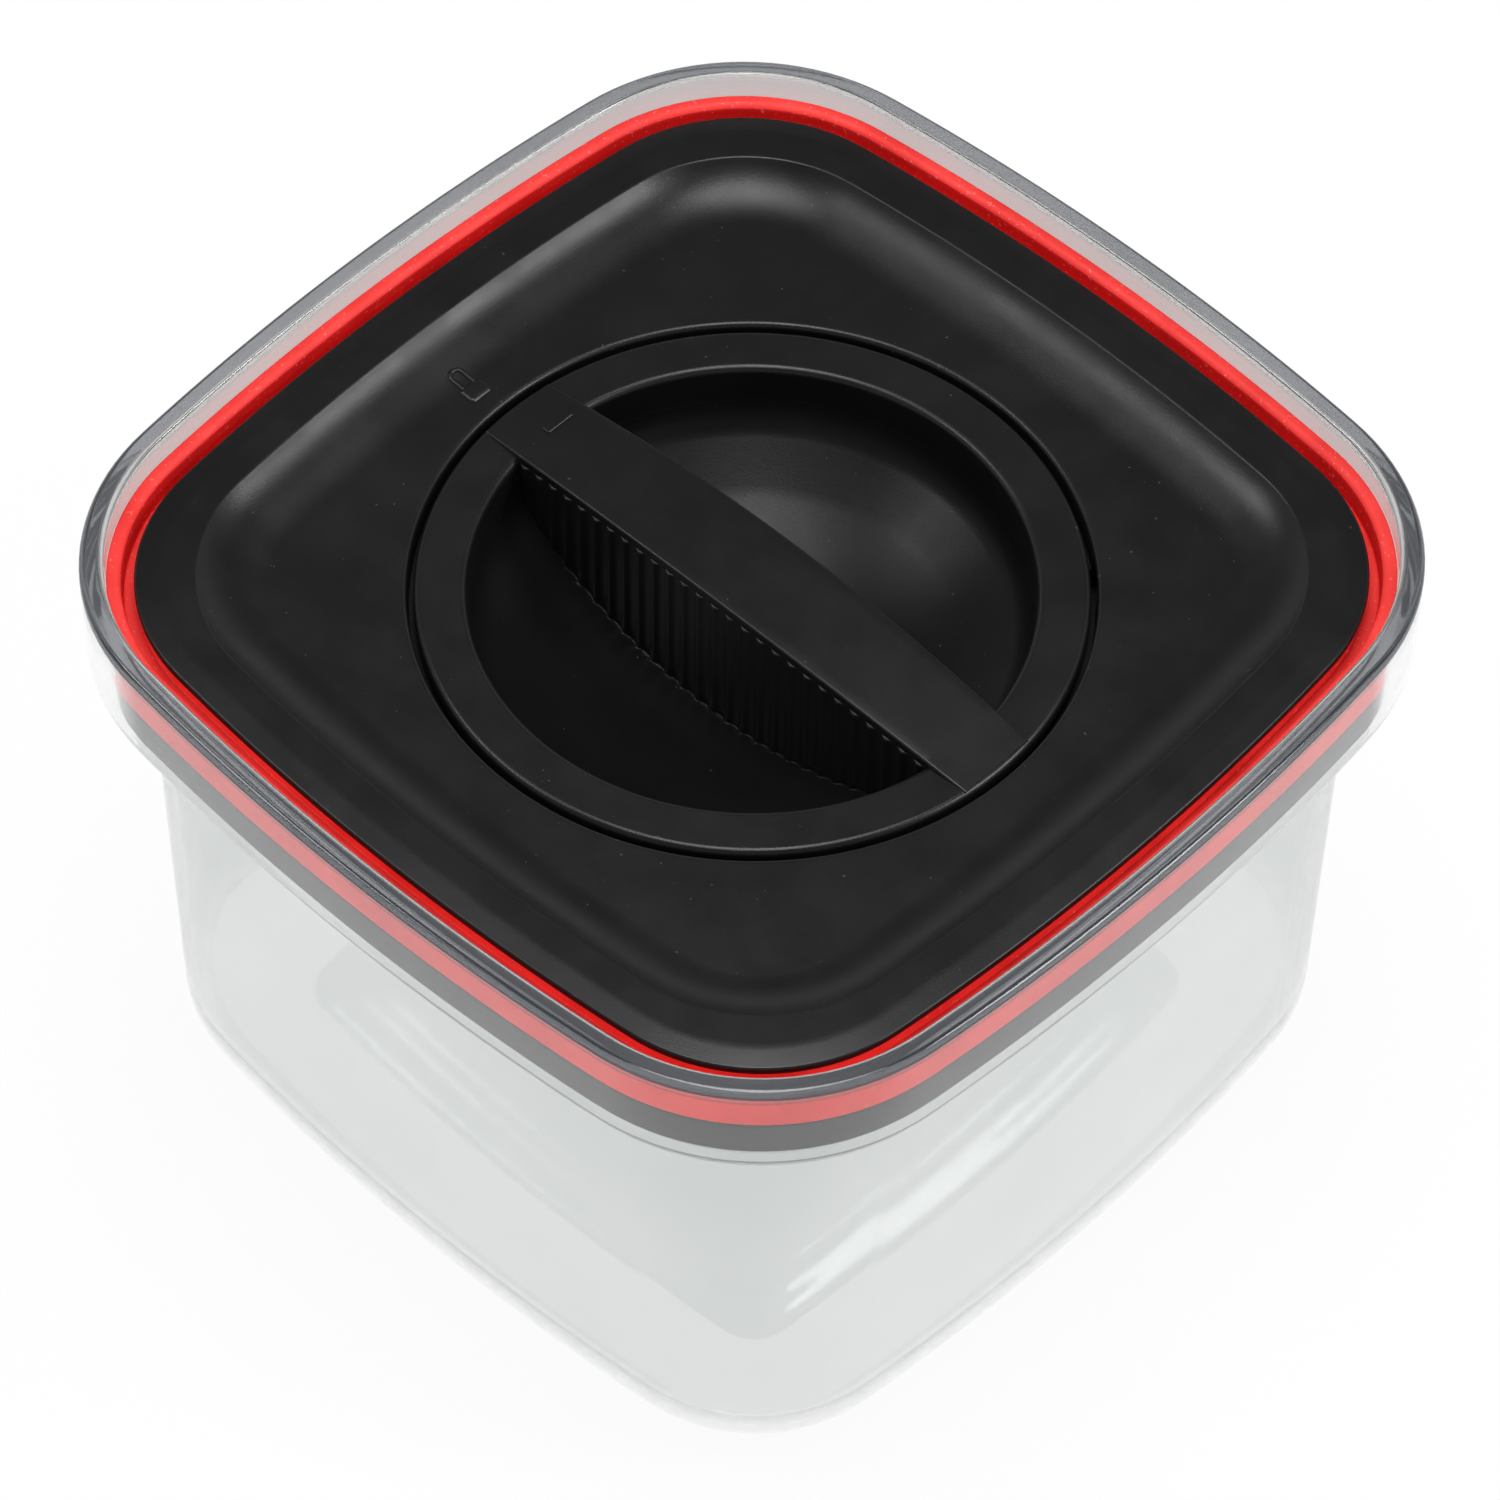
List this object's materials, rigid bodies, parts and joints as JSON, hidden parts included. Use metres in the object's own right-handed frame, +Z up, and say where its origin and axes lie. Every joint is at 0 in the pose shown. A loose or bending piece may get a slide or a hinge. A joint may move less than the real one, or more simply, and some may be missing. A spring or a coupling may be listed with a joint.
{
  "type": "food storage container",
  "caption": "Square clear food container with a recessed black lid whose sunken knob turns to squeeze a red seal ring against the collar.",
  "frame": {"origin": "middle of the tub's underside, on the surface it stands on", "axes": "+Z up out of the lid; X and Y square to the sides, with the knob's grip bar along X when locked"},
  "size_m": [0.14, 0.14, 0.092],
  "materials": {
    "clear_plastic": "clear, polished",
    "satin_black": "satin",
    "inner_black": "matt",
    "red_silicone": "soft matt",
    "pale_acetal": "smooth, slightly waxy",
    "grey_rubber": "matt",
    "steel": "bright"
  },
  "bodies": {
    "tub": {"tub": "clear_plastic"},
    "lid": {"lid_cover": "satin_black", "slip_ring": "pale_acetal", "seal_ring": "red_silicone"},
    "knob": {"twist_knob": "satin_black", "cam_drum": "pale_acetal", "drum_screw_1": "steel", "drum_screw_2": "steel", "drum_screw_3": "steel", "drum_screw_4": "steel"},
    "press_plate": {"press_plate": "inner_black", "hub_cap": "inner_black", "cap_ring": "grey_rubber", "follower_pin_1": "steel", "follower_pin_2": "steel", "follower_pin_3": "steel"}
  },
  "joints": [
    {"name": "lid_lift", "type": "slide", "parent": "tub", "child": "lid", "axis": [0, 0, 1], "range_m": [0, 0.045]},
    {"name": "knob_turn", "type": "hinge", "parent": "lid", "child": "knob", "pos_m": [0, 0, 0.085], "axis": [0, 0, 1], "range_deg": [0, 90]},
    {"name": "plate_drop", "type": "slide", "parent": "lid", "child": "press_plate", "axis": [0, 0, -1], "range_m": [0, 0.0018], "deforming": ["seal_ring"]}
  ],
  "couplings": [
    {"joint": "plate_drop", "follows": "knob_turn", "m_per_rad": 0.0011459}
  ]
}
